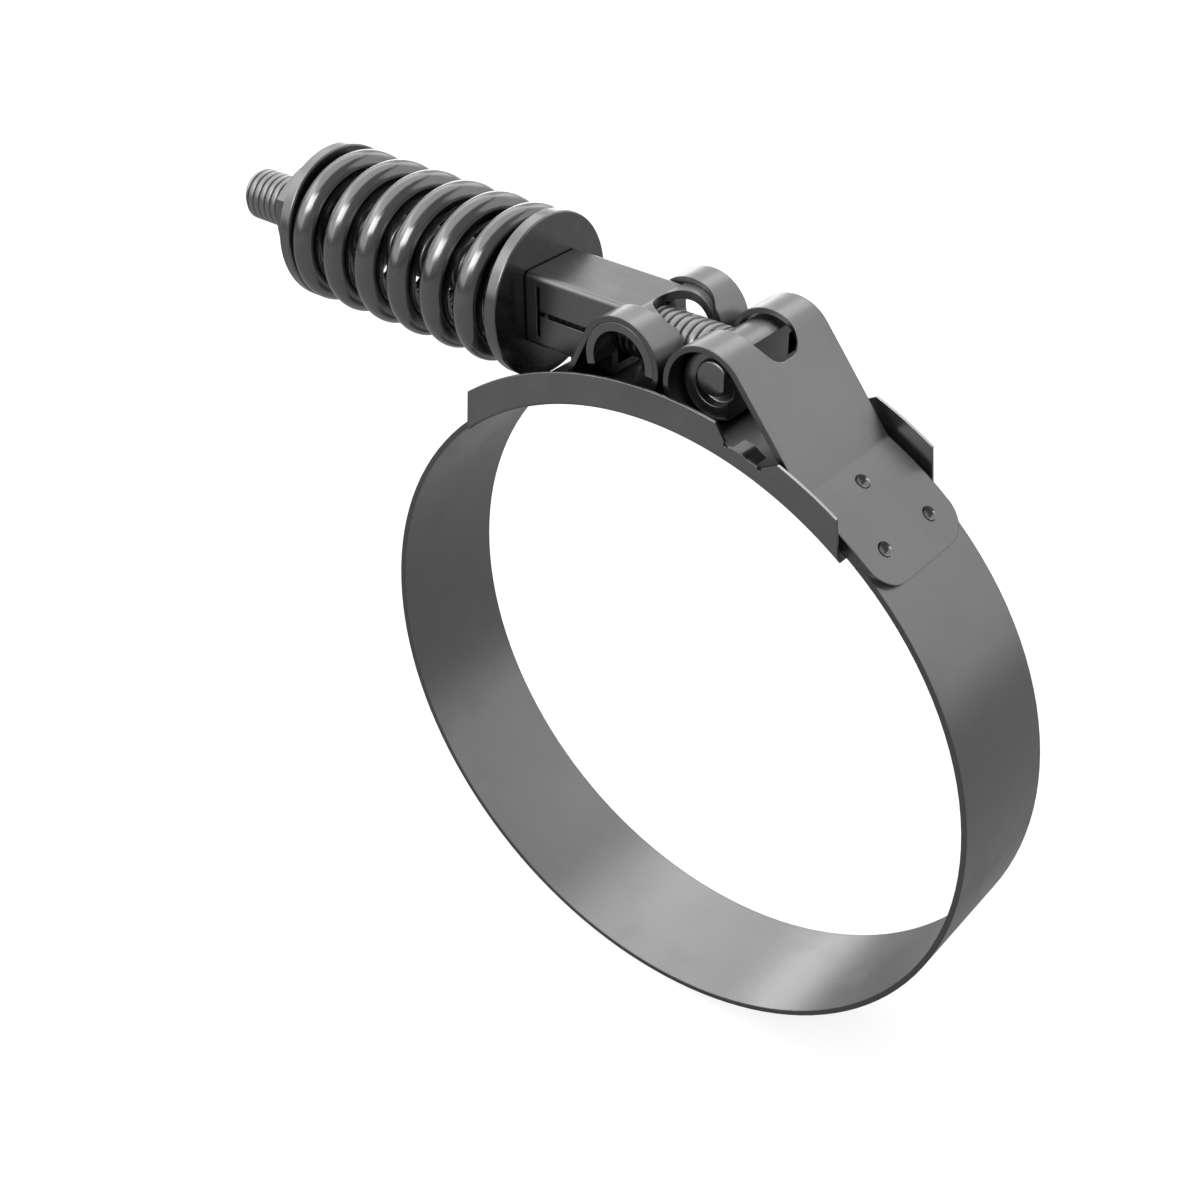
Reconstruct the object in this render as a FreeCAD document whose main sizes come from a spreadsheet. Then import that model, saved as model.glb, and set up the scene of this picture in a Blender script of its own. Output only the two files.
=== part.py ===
import FreeCAD, Part
import math
import os
import Sketcher

# Spring-loaded band clamp closed by a T bolt. Millimetres and degrees.
# Origin at the ring's centre, +X along the bolt towards its head, +Y along
# the ring's axis to the rear, +Z up to the loops. An angle round the ring
# counts from +Z towards +X.

SIZES = {
    # Band: a ring of flat strip, each end folded back over a loop and welded down
    "band_inner_radius": 50.1,
    "band_sheet": 0.8,
    "band_width": 20.0,
    "layer_gap": 0.02,
    "loop_outer_radius": 6.3,
    "loop_side_gap": 0.4,
    "loop_sink": 1.4,
    "loop_foot_radius": 2.5,
    "crease_radius": 1.0,
    "tab_corner_radius": 4.5,
    "tee_crease_angle": 25.7,
    "tee_tab_end_angle": 43.2,
    "trunnion_crease_angle": 19.6,
    "trunnion_tab_end_angle": 30.2,
    "tee_slot_run": 5.8,
    "tee_slot_half_width": 4.2,
    "slot_corner_radius": 3.3,
    "bolt_slot_gap": 0.05,
    "sleeve_slot_gap": 0.15,
    "sleeve_slot_run": 5.4,
    # Spot welds on each tab
    "weld_radius": 1.15,
    "weld_depth": 0.65,
    "weld_near_angle": 2.9,
    "weld_end_angle": 5.3,
    "weld_spread": 5.35,
    # Bridge: a thin channel inside the band
    "bridge_gap": 0.03,
    "bridge_sheet": 0.4,
    "bridge_half_width": 11.55,
    "bridge_bend_radius": 0.35,
    "flange_rise": 3.5,
    "bridge_tee_top_angle": 31.0,
    "bridge_tee_floor_angle": 35.5,
    "bridge_trunnion_top_angle": 36.6,
    "bridge_trunnion_floor_angle": 41.5,
    "notch_floor_rise": 1.3,
    "notch_floor_start_angle": 12.7,
    "notch_floor_end_angle": 18.6,
    "notch_top_start_angle": 10.3,
    "notch_top_end_angle": 20.7,
    "notch_corner_radius": 0.3,
    "notch_relief_radius": 0.35,
    "lug_side_angle": 1.0,
    "lug_bend_angle": 1.8,
    "lug_span_angle": 3.9,
    "lug_length": 2.9,
    "lug_rise": 0.15,
    "lug_drop": 0.5,
    "lug_taper_angle": 0.15,
    "lug_bend_radius": 1.2,
    # Trunnion: one folded sheet, half barrel and square sleeve
    "trunnion_sheet": 1.2,
    "barrel_gap": 0.05,
    "barrel_tee_end_angle": 6.3,
    "barrel_spring_end_angle": 19.3,
    "sleeve_half_width": 5.4,
    "sleeve_top": 5.3,
    "sleeve_bottom": 5.2,
    "sleeve_corner_radius": 0.8,
    "sleeve_fold_radius": 0.3,
    "sleeve_end_round": 0.3,
    "sleeve_length": 20.0,
    "sleeve_mouth": 4.8,
    "sleeve_relief": 0.3,
    "bolt_slot_half_width": 4.1,
    "bolt_slot_start": 1.2,
    "bolt_slot_round": 4.0,
    "seam_end_gap": 2.65,
    "seam_width": 0.6,
    "seam_top": 3.75,
    "seam_bottom": 3.6,
    "joint_top": 0.3,
    "joint_bottom": 0.5,
    # T bolt
    "bolt_radius": 3.95,
    "bolt_tip_reach": 86.4,
    "bolt_tip_chamfer": 0.8,
    "head_play": 0.3,
    "head_gap": 0.6,
    "head_reach": 7.45,
    "head_edge_round": 0.7,
    "head_flat_depth": 2.7,
    "hollow_radius": 2.8,
    "hollow_depth": 1.4,
    "button_radius": 2.45,
    "button_rise": 1.4,
    "button_shift": 0.3,
    "button_proud": 0.95,
    "button_round": 0.4,
    # Washers, spring and nut on the bolt
    "washer_radius": 11.7,
    "washer_thickness": 2.0,
    "washer_hole_radius": 4.3,
    "washer_edge_round": 0.3,
    "seat_gap": 0.02,
    "spring_length": 38.4,
    "spring_coil_radius": 9.7,
    "spring_wire_radius": 2.0,
    "spring_pitch": 6.42,
    "spring_turn_angle": 184.5,
    "nut_height": 6.5,
    "nut_flats": 13.0,
    "nut_face_radius": 6.2,
    "nut_chamfer_angle": 30.0,
    "nut_thread_gap": 0.05,
    "nut_countersink": 0.5,
}

doc = FreeCAD.newDocument("tee_bolt_clamp")
sheet = doc.addObject("Spreadsheet::Sheet", "Sizes")
for row, (alias, number) in enumerate(SIZES.items(), start=1):
    sheet.set("A%d" % row, alias)
    sheet.set("B%d" % row, str(number))
    sheet.setAlias("B%d" % row, alias)
doc.recompute()

BAND_OUTER = "(Sizes.band_inner_radius + Sizes.band_sheet)"
BOLT_HEIGHT = "(%s + Sizes.loop_outer_radius - Sizes.loop_sink)" % BAND_OUTER
LOOP_OFFSET = "(Sizes.loop_outer_radius + Sizes.loop_side_gap)"
TAB_SEAT = "(%s + Sizes.layer_gap)" % BAND_OUTER
TAB_TOP = "(%s + Sizes.band_sheet)" % TAB_SEAT
BAND_ENDS = (
    (1, "Sizes.tee_crease_angle", "Sizes.tee_tab_end_angle"),
    (-1, "Sizes.trunnion_crease_angle", "Sizes.trunnion_tab_end_angle"),
)
BOLT_UNDERSIDE = "(%s - Sizes.bolt_radius - Sizes.bolt_slot_gap)" % BOLT_HEIGHT
SLEEVE_SLOT = "(Sizes.sleeve_half_width + Sizes.sleeve_slot_gap)"
SLEEVE_UNDERSIDE = "(%s - Sizes.sleeve_bottom - Sizes.sleeve_slot_gap)" % BOLT_HEIGHT
BRIDGE_TOP = "(Sizes.band_inner_radius - Sizes.bridge_gap)"
BRIDGE_FLOOR = "(%s - Sizes.bridge_sheet)" % BRIDGE_TOP
FLANGE_TOP = "(%s + Sizes.flange_rise)" % BAND_OUTER
NOTCH_FLOOR = "(%s + Sizes.notch_floor_rise)" % BAND_OUTER
BARREL_OUTER = "(Sizes.loop_outer_radius - Sizes.band_sheet - Sizes.barrel_gap)"
SEAM_OFFSET = "(Sizes.sleeve_length - Sizes.seam_end_gap)"
SLEEVE_END = "(%s + Sizes.sleeve_length)" % LOOP_OFFSET
SPRING_START = "(%s + Sizes.washer_thickness + Sizes.seat_gap)" % SLEEVE_END
OUTER_WASHER = "(%s + Sizes.spring_length + Sizes.seat_gap)" % SPRING_START
NUT_START = "(%s + Sizes.washer_thickness + Sizes.seat_gap)" % OUTER_WASHER
HEAD_OFFSET = "(%s - Sizes.head_play)" % LOOP_OFFSET
HEAD_RADIUS = "(Sizes.loop_outer_radius - Sizes.band_sheet - Sizes.head_gap)"


# The share of its length by which a cutting line runs past what it cuts
PAST = 0.5


def worth(expression):
    """The number that an expression on the sheet gives."""
    return float(sheet.evalExpression(str(expression)))


def polar(radius, angle, side=""):
    """Sketch coordinates of a point at a ring angle, as expressions. A side of "-" mirrors it."""
    return ("%s%s * sin(%s)" % (side, radius, angle), "%s * cos(%s)" % (radius, angle))


def between(start, end, share):
    """The point a share of the way from start to end, as expressions."""
    return tuple("(1 - %s) * %s + %s * %s" % (share, a, share, b) for a, b in zip(start, end))


def new_body(name):
    return doc.addObject("PartDesign::Body", name)


def new_sketch(body, role, name, rise=None, swing=None):
    """A sketch on an origin plane, raised along its normal or swung about its first axis."""
    sketch = body.newObject("Sketcher::SketchObject", name)
    plane = [item for item in body.Origin.OriginFeatures if item.Role == role][0]
    sketch.AttachmentSupport = (plane, [""])
    sketch.MapMode = "FlatFace"
    if rise is not None:
        sketch.setExpression("AttachmentOffset.Base.z", rise)
    if swing is not None:
        sketch.AttachmentOffset = FreeCAD.Placement(
            FreeCAD.Vector(), FreeCAD.Rotation(FreeCAD.Vector(1, 0, 0), 1.0))
        sketch.setExpression("AttachmentOffset.Rotation.Angle", swing)
    return sketch


def bind(sketch, constraint_type, places, expression):
    """A dimension whose value follows the sheet."""
    index = sketch.addConstraint(Sketcher.Constraint(constraint_type, *places, worth(expression)))
    sketch.setExpression("Constraints[%d]" % index, expression)


def hold_point(sketch, geometry, place, corner):
    """Both coordinates of a point, measured from the sketch's origin."""
    bind(sketch, "DistanceX", (-1, 1, geometry, place), corner[0])
    bind(sketch, "DistanceY", (-1, 1, geometry, place), corner[1])


def draw_outline(sketch, corners):
    """A closed outline. A corner is x, y and, where it is rounded, a radius."""
    spots = [FreeCAD.Vector(worth(item[0]), worth(item[1]), 0) for item in corners]
    count = len(corners)
    starts = []
    ends = []
    arcs = []
    for index, corner in enumerate(corners):
        here = spots[index]
        if len(corner) == 2:
            starts.append(here)
            ends.append(here)
            arcs.append(None)
            continue
        back = (spots[index - 1] - here).normalize()
        ahead = (spots[(index + 1) % count] - here).normalize()
        half = back.getAngle(ahead) / 2
        radius = worth(corner[2])
        centre = here + (back + ahead).normalize() * (radius / math.sin(half))
        first = here + back * (radius / math.tan(half))
        last = here + ahead * (radius / math.tan(half))
        middle = centre + (here - centre).normalize() * radius
        ends.append(first)
        starts.append(last)
        arcs.append(Part.Arc(first, middle, last))
    lines = []
    for index in range(count):
        segment = Part.LineSegment(starts[index], ends[(index + 1) % count])
        lines.append(sketch.addGeometry(segment))
    for index, corner in enumerate(corners):
        before = lines[index - 1]
        after = lines[index]
        if arcs[index] is None:
            sketch.addConstraint(Sketcher.Constraint("Coincident", before, 2, after, 1))
            hold_point(sketch, after, 1, corner)
            continue
        arc = sketch.addGeometry(arcs[index])
        starts_first = sketch.getPoint(arc, 1).distanceToPoint(ends[index]) < 1e-6
        first_end, last_end = (1, 2) if starts_first else (2, 1)
        sketch.addConstraint(Sketcher.Constraint("Tangent", before, 2, arc, first_end))
        sketch.addConstraint(Sketcher.Constraint("Tangent", after, 1, arc, last_end))
        bind(sketch, "Radius", (arc,), corner[2])
        point = sketch.addGeometry(Part.Point(spots[index]), True)
        sketch.addConstraint(Sketcher.Constraint("PointOnObject", point, 1, before))
        sketch.addConstraint(Sketcher.Constraint("PointOnObject", point, 1, after))
        hold_point(sketch, point, 1, corner)


def draw_circle(sketch, radius, place=None):
    """A circle about a place, or about the sketch's origin."""
    axis = FreeCAD.Vector(0, 0, 1)
    circle = sketch.addGeometry(Part.Circle(FreeCAD.Vector(), axis, worth(radius)))
    if place is None:
        sketch.addConstraint(Sketcher.Constraint("Coincident", circle, 3, -1, 1))
    else:
        hold_point(sketch, circle, 3, place)
    bind(sketch, "Radius", (circle,), radius)


def pad(body, sketch, name, length, reverse=False, both_ways=False):
    feature = body.newObject("PartDesign::Pad", name)
    feature.Profile = sketch
    feature.setExpression("Length", length)
    feature.Reversed = reverse
    feature.SideType = "Symmetric" if both_ways else "One side"
    return feature


def pocket(body, sketch, name, length, reverse=False, both_ways=False):
    feature = body.newObject("PartDesign::Pocket", name)
    feature.Profile = sketch
    feature.setExpression("Length", length)
    feature.Reversed = reverse
    feature.SideType = "Symmetric" if both_ways else "One side"
    return feature


def revolve(body, sketch, name, axis, angle):
    """A revolution, half to each side of its sketch."""
    feature = body.newObject("PartDesign::Revolution", name)
    feature.Profile = sketch
    feature.ReferenceAxis = (sketch, [axis])
    feature.setExpression("Angle", angle)
    feature.Midplane = True
    return feature


def edges_where(feature, test):
    """Names of a feature's edges that a test picks."""
    doc.recompute()
    edges = feature.Shape.Edges
    return ["Edge%d" % (index + 1) for index, edge in enumerate(edges) if test(edge)]


def label(feature, name):
    feature.Label = name
    return feature


# Band


def bend_centres(crease_angle):
    """Where a folded end bends, drawn with its loop on the +X side."""
    tab_top = worth(TAB_TOP)
    loop_radius = worth("Sizes.loop_outer_radius")
    foot_radius = worth("Sizes.loop_foot_radius")
    crease_radius = worth("Sizes.crease_radius")
    loop = FreeCAD.Vector(worth(LOOP_OFFSET), worth(BOLT_HEIGHT), 0)
    turn = math.radians(worth(crease_angle))
    crease = FreeCAD.Vector(math.sin(turn), math.cos(turn), 0) * (tab_top + crease_radius)
    # The leg is the straight line that touches the crease bend and the loop from opposite sides.
    span = crease - loop
    tilt = math.atan2(span.y, span.x) + math.acos((crease_radius + loop_radius) / span.Length)
    leg_normal = FreeCAD.Vector(math.cos(tilt), math.sin(tilt), 0)
    # The foot bend touches the loop from inside and the ring's bore from outside.
    reach_loop = loop_radius - foot_radius
    reach_ring = worth("Sizes.band_inner_radius") + foot_radius
    along = (loop.Length ** 2 + reach_ring ** 2 - reach_loop ** 2) / (2 * loop.Length)
    across = math.sqrt(reach_ring ** 2 - along ** 2)
    outward = FreeCAD.Vector(loop).normalize()
    sideways = FreeCAD.Vector(-outward.y, outward.x, 0)
    foot = outward * along + sideways * across
    return loop, crease, foot, leg_normal


def direction_angle(vector):
    """The angle at which a vector points, from the sketch's X axis."""
    return math.atan2(vector.y, vector.x)


def draw_arc(sketch, centre, radius, first_angle, last_angle, side):
    """An arc between two directions. On the -X side it is drawn mirrored, so its ends swap."""
    if side < 0:
        centre = FreeCAD.Vector(-centre.x, centre.y, 0)
        first_angle, last_angle = math.pi - last_angle, math.pi - first_angle
    circle = Part.Circle(centre, FreeCAD.Vector(0, 0, 1), worth(radius))
    return sketch.addGeometry(Part.ArcOfCircle(circle, first_angle, last_angle))


def draw_fold(sketch, side, crease_angle, tab_end_angle, outside):
    """One face of a folded end, from its tab to the foot of its loop.

    The outside face is the one that shows on the tab, leg and loop.
    """
    loop, crease, foot, leg_normal = bend_centres(crease_angle)
    if outside:
        tab_radius = TAB_TOP
        crease_radius = "Sizes.crease_radius"
        loop_radius = "Sizes.loop_outer_radius"
        foot_radius = "Sizes.loop_foot_radius"
    else:
        tab_radius = TAB_SEAT
        crease_radius = "(Sizes.crease_radius + Sizes.band_sheet)"
        loop_radius = "(Sizes.loop_outer_radius - Sizes.band_sheet)"
        foot_radius = "(Sizes.loop_foot_radius - Sizes.band_sheet)"
    start, end = (1, 2) if side > 0 else (2, 1)
    sign = "" if side > 0 else "-"
    crease_turn = direction_angle(crease)
    leg_turn = direction_angle(leg_normal)
    foot_turn = direction_angle(foot - loop)
    tab_end = math.pi / 2 - math.radians(worth(tab_end_angle))
    tab = draw_arc(sketch, FreeCAD.Vector(), tab_radius, tab_end, crease_turn, side)
    bend = draw_arc(sketch, crease, crease_radius, leg_turn - math.pi, crease_turn - math.pi, side)
    leg_ends = [crease - leg_normal * worth(crease_radius), loop + leg_normal * worth(loop_radius)]
    leg = sketch.addGeometry(Part.LineSegment(*[FreeCAD.Vector(side * p.x, p.y, 0) for p in leg_ends]))
    curl = draw_arc(sketch, loop, loop_radius, leg_turn, foot_turn, side)
    heel = draw_arc(sketch, foot, foot_radius, foot_turn, direction_angle(foot) - math.pi, side)
    sketch.addConstraint(Sketcher.Constraint("Coincident", tab, 3, -1, 1))
    sketch.addConstraint(Sketcher.Constraint("Tangent", tab, end, bend, end))
    sketch.addConstraint(Sketcher.Constraint("Tangent", bend, start, leg, 1))
    sketch.addConstraint(Sketcher.Constraint("Tangent", leg, 2, curl, start))
    sketch.addConstraint(Sketcher.Constraint("Tangent", curl, end, heel, start))
    hold_point(sketch, curl, 3, (sign + LOOP_OFFSET, BOLT_HEIGHT))
    bind(sketch, "DistanceX", (-1, 1, bend, 3),
         "%s(%s + Sizes.crease_radius) * sin(%s)" % (sign, TAB_TOP, crease_angle))
    bind(sketch, "DistanceX", (-1, 1, tab, start), "%s%s * sin(%s)" % (sign, tab_radius, tab_end_angle))
    bind(sketch, "Radius", (tab,), tab_radius)
    bind(sketch, "Radius", (bend,), crease_radius)
    bind(sketch, "Radius", (curl,), loop_radius)
    bind(sketch, "Radius", (heel,), foot_radius)
    return tab, start, heel, end


def draw_band(sketch):
    """The whole strip seen from the front: ring, and at each end a loop folded back to a tab."""
    tab_ends = []
    for outside, ring_radius in ((True, "Sizes.band_inner_radius"), (False, BAND_OUTER)):
        heels = []
        for side, crease_angle, tab_end_angle in BAND_ENDS:
            tab, tab_end, heel, heel_end = draw_fold(sketch, side, crease_angle, tab_end_angle, outside)
            tab_ends.append((tab, tab_end))
            heels.append((heel, heel_end))
        foot = bend_centres(BAND_ENDS[0][1])[2]
        foot_turn = direction_angle(foot)
        # From the foot on the -X side round the bottom to the foot on the +X side.
        first_turn = math.pi - foot_turn
        last_turn = foot_turn + 2 * math.pi
        ring = draw_arc(sketch, FreeCAD.Vector(), ring_radius, first_turn, last_turn, 1)
        sketch.addConstraint(Sketcher.Constraint("Coincident", ring, 3, -1, 1))
        sketch.addConstraint(Sketcher.Constraint("Tangent", heels[0][0], heels[0][1], ring, 2))
        sketch.addConstraint(Sketcher.Constraint("Tangent", heels[1][0], heels[1][1], ring, 1))
        bind(sketch, "Radius", (ring,), ring_radius)
    for outer, inner in ((tab_ends[0], tab_ends[2]), (tab_ends[1], tab_ends[3])):
        closing = sketch.addGeometry(Part.LineSegment(sketch.getPoint(*outer), sketch.getPoint(*inner)))
        sketch.addConstraint(Sketcher.Constraint("Coincident", closing, 1, *outer))
        sketch.addConstraint(Sketcher.Constraint("Coincident", closing, 2, *inner))


def slot_corners(near, far, half_width, near_round, far_round):
    """A slot along X as outline corners, each end with its own corner radius."""
    near_corner = () if near_round is None else (near_round,)
    far_corner = () if far_round is None else (far_round,)
    return [
        (near, "-" + half_width) + near_corner,
        (far, "-" + half_width) + far_corner,
        (far, half_width) + far_corner,
        (near, half_width) + near_corner,
    ]


def cut_slot(body, name, rise, height, corners):
    """A slot cut upwards from a level, so that the strip below it stays whole."""
    sketch = new_sketch(body, "XY_Plane", name, rise=rise)
    draw_outline(sketch, corners)
    return pocket(body, sketch, name + "_cut", height, reverse=True)


def weld_dimples(body_shape):
    """Three round dimples on each tab, where it is spot welded to the ring."""
    dimples = doc.addObject("Part::MultiFuse", "band_welds")
    ball_radius = "((Sizes.weld_radius ^ 2 + Sizes.weld_depth ^ 2) / (2 * Sizes.weld_depth))"
    balls = []
    for side, crease_angle, tab_end_angle in BAND_ENDS:
        mirror = "" if side > 0 else "-"
        near_row = "%s + Sizes.weld_near_angle" % crease_angle
        far_row = "%s - Sizes.weld_end_angle" % tab_end_angle
        spots = ((near_row, "0"), (far_row, "Sizes.weld_spread"), (far_row, "-Sizes.weld_spread"))
        for angle, spread in spots:
            ball = doc.addObject("Part::Sphere", "band_weld")
            ball.setExpression("Radius", ball_radius)
            place = polar("(%s - Sizes.weld_depth + %s)" % (TAB_TOP, ball_radius), angle, mirror)
            ball.setExpression("Placement.Base.x", place[0])
            ball.setExpression("Placement.Base.y", spread)
            ball.setExpression("Placement.Base.z", place[1])
            balls.append(ball)
    dimples.Shapes = balls
    band = doc.addObject("Part::Cut", "band_welded")
    band.Base = body_shape
    band.Tool = dimples
    return band


def make_band():
    """One flat strip, rolled into a ring and folded back at both ends into slotted loops."""
    body = new_body("band_strip")
    profile = new_sketch(body, "XZ_Plane", "band_profile")
    draw_band(profile)
    strip = pad(body, profile, "band_pad", "Sizes.band_width", both_ways=True)
    half = worth("Sizes.band_width") / 2
    sheet_size = worth("Sizes.band_sheet")
    floor_gap = worth("Sizes.band_sheet + Sizes.layer_gap") / 2
    tips = []
    for side, crease_angle, tab_end_angle in BAND_ENDS:
        turn = math.radians(worth(tab_end_angle))
        middle = worth(TAB_SEAT) + sheet_size / 2
        tips.append(FreeCAD.Vector(side * middle * math.sin(turn), 0, middle * math.cos(turn)))

    def is_tab_corner(edge):
        middle = edge.CenterOfMass
        across = FreeCAD.Vector(0, middle.y, 0)
        beside = abs(abs(middle.y) - half) < 1e-6 and abs(edge.Length - sheet_size) < 1e-3
        return beside and any((middle - tip - across).Length < floor_gap for tip in tips)

    corners = body.newObject("PartDesign::Fillet", "band_tab_corners")
    corners.Base = (strip, edges_where(strip, is_tab_corner))
    corners.setExpression("Radius", "Sizes.tab_corner_radius")

    over_loop = "4 * Sizes.loop_outer_radius"
    past_leg = "-3 * " + LOOP_OFFSET
    rounding = "Sizes.slot_corner_radius"
    # The bolt's slot on the head side is round at its lower end on the leg.
    cut_slot(body, "band_tee_slot", BOLT_UNDERSIDE, over_loop, slot_corners(
        "0", "(%s + Sizes.tee_slot_run)" % LOOP_OFFSET, "Sizes.tee_slot_half_width", None, rounding))
    # The other loop has a wide slot for the sleeve and beyond it a narrow one for the bolt.
    cut_slot(body, "band_sleeve_slot", BOLT_UNDERSIDE, over_loop, slot_corners(
        "-(%s - Sizes.sleeve_slot_run)" % LOOP_OFFSET, past_leg, SLEEVE_SLOT, rounding, None))
    cut_slot(body, "band_bolt_slot", BOLT_UNDERSIDE, "2 * Sizes.bolt_slot_half_width", slot_corners(
        "0", "-" + LOOP_OFFSET, "Sizes.bolt_slot_half_width", None, None))
    cut_slot(body, "band_leg_slot", SLEEVE_UNDERSIDE, "Sizes.loop_outer_radius", slot_corners(
        "-2 * " + LOOP_OFFSET, past_leg, SLEEVE_SLOT, None, None))
    doc.recompute()
    return label(weld_dimples(body), "band")


# Bridge


def make_bridge():
    """A channel that spans the band's gap from inside, its flanges beside the band."""
    body = new_body("bridge_body")
    section = new_sketch(body, "YZ_Plane", "bridge_section",
                         swing="(Sizes.bridge_tee_floor_angle - Sizes.bridge_trunnion_floor_angle) / 2")
    wide = "Sizes.bridge_half_width"
    inside = "(Sizes.bridge_half_width - Sizes.bridge_sheet)"
    bend = "Sizes.bridge_bend_radius"
    outer_bend = "(Sizes.bridge_bend_radius + Sizes.bridge_sheet)"
    draw_outline(section, [
        ("-" + wide, BRIDGE_FLOOR, outer_bend),
        (wide, BRIDGE_FLOOR, outer_bend),
        (wide, FLANGE_TOP),
        (inside, FLANGE_TOP),
        (inside, BRIDGE_TOP, bend),
        ("-" + inside, BRIDGE_TOP, bend),
        ("-" + inside, FLANGE_TOP),
        ("-" + wide, FLANGE_TOP),
    ])
    revolve(body, section, "bridge_channel", "H_Axis",
            "1.2 * (Sizes.bridge_tee_floor_angle + Sizes.bridge_trunnion_floor_angle)")

    far = "1.5 * " + FLANGE_TOP
    for end, side, top_angle, floor_angle in (
            ("tee", "", "Sizes.bridge_tee_top_angle", "Sizes.bridge_tee_floor_angle"),
            ("trunnion", "-", "Sizes.bridge_trunnion_top_angle", "Sizes.bridge_trunnion_floor_angle")):
        top = polar(FLANGE_TOP, top_angle, side)
        low = polar(BRIDGE_FLOOR, floor_angle, side)
        sketch = new_sketch(body, "XZ_Plane", "bridge_%s_end" % end)
        draw_outline(sketch, [
            between(low, top, 1 + PAST),
            (side + far, far),
            (side + far, "0"),
            between(low, top, -PAST),
        ])
        pocket(body, sketch, "bridge_%s_end_cut" % end, "4 * " + wide, both_ways=True)

    notch = new_sketch(body, "XZ_Plane", "bridge_notch")
    floor_start = polar(NOTCH_FLOOR, "Sizes.notch_floor_start_angle")
    floor_end = polar(NOTCH_FLOOR, "Sizes.notch_floor_end_angle")
    top_start = polar(FLANGE_TOP, "Sizes.notch_top_start_angle")
    top_end = polar(FLANGE_TOP, "Sizes.notch_top_end_angle")
    draw_outline(notch, [
        between(floor_start, top_start, 1 + PAST),
        floor_start + ("Sizes.notch_corner_radius",),
        floor_end + ("Sizes.notch_corner_radius",),
        between(floor_end, top_end, 1 + PAST),
    ])
    pocket(body, notch, "bridge_notch_cut", "4 * " + wide, both_ways=True)
    for corner, place in (("near", floor_start), ("far", floor_end)):
        relief = new_sketch(body, "XZ_Plane", "bridge_%s_relief" % corner)
        draw_circle(relief, "Sizes.notch_relief_radius", place)
        pocket(body, relief, "bridge_%s_relief_cut" % corner, "4 * " + wide, both_ways=True)

    # A lug at each notch is folded in over the band, its far half bent down.
    lug_top = "(%s + Sizes.lug_rise)" % NOTCH_FLOOR
    lug_low = "(%s - Sizes.bridge_sheet)" % lug_top
    start = "(Sizes.notch_floor_start_angle + Sizes.lug_side_angle)"
    middle = "(%s + Sizes.lug_bend_angle)" % start
    end = "(%s + Sizes.lug_span_angle)" % start
    bend = "Sizes.lug_bend_radius"
    for side, sign in (("front", ""), ("rear", "-")):
        inner_end = "%s(%s - Sizes.lug_length)" % (sign, wide)
        lug = new_sketch(body, "XZ_Plane", "bridge_%s_lug" % side, rise=inner_end)
        draw_outline(lug, [
            polar(lug_top, start),
            polar(lug_top, middle) + ("(%s + Sizes.bridge_sheet)" % bend,),
            polar("(%s - Sizes.lug_drop)" % lug_top, end),
            polar("(%s - Sizes.lug_drop)" % lug_low, "(%s - Sizes.lug_taper_angle)" % end),
            polar(lug_low, "(%s - Sizes.lug_taper_angle)" % middle) + (bend,),
            polar(lug_low, start),
        ])
        pad(body, lug, "bridge_%s_lug_fold" % side, "Sizes.lug_length", reverse=side == "rear")
    return label(body, "bridge")


# Trunnion


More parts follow.
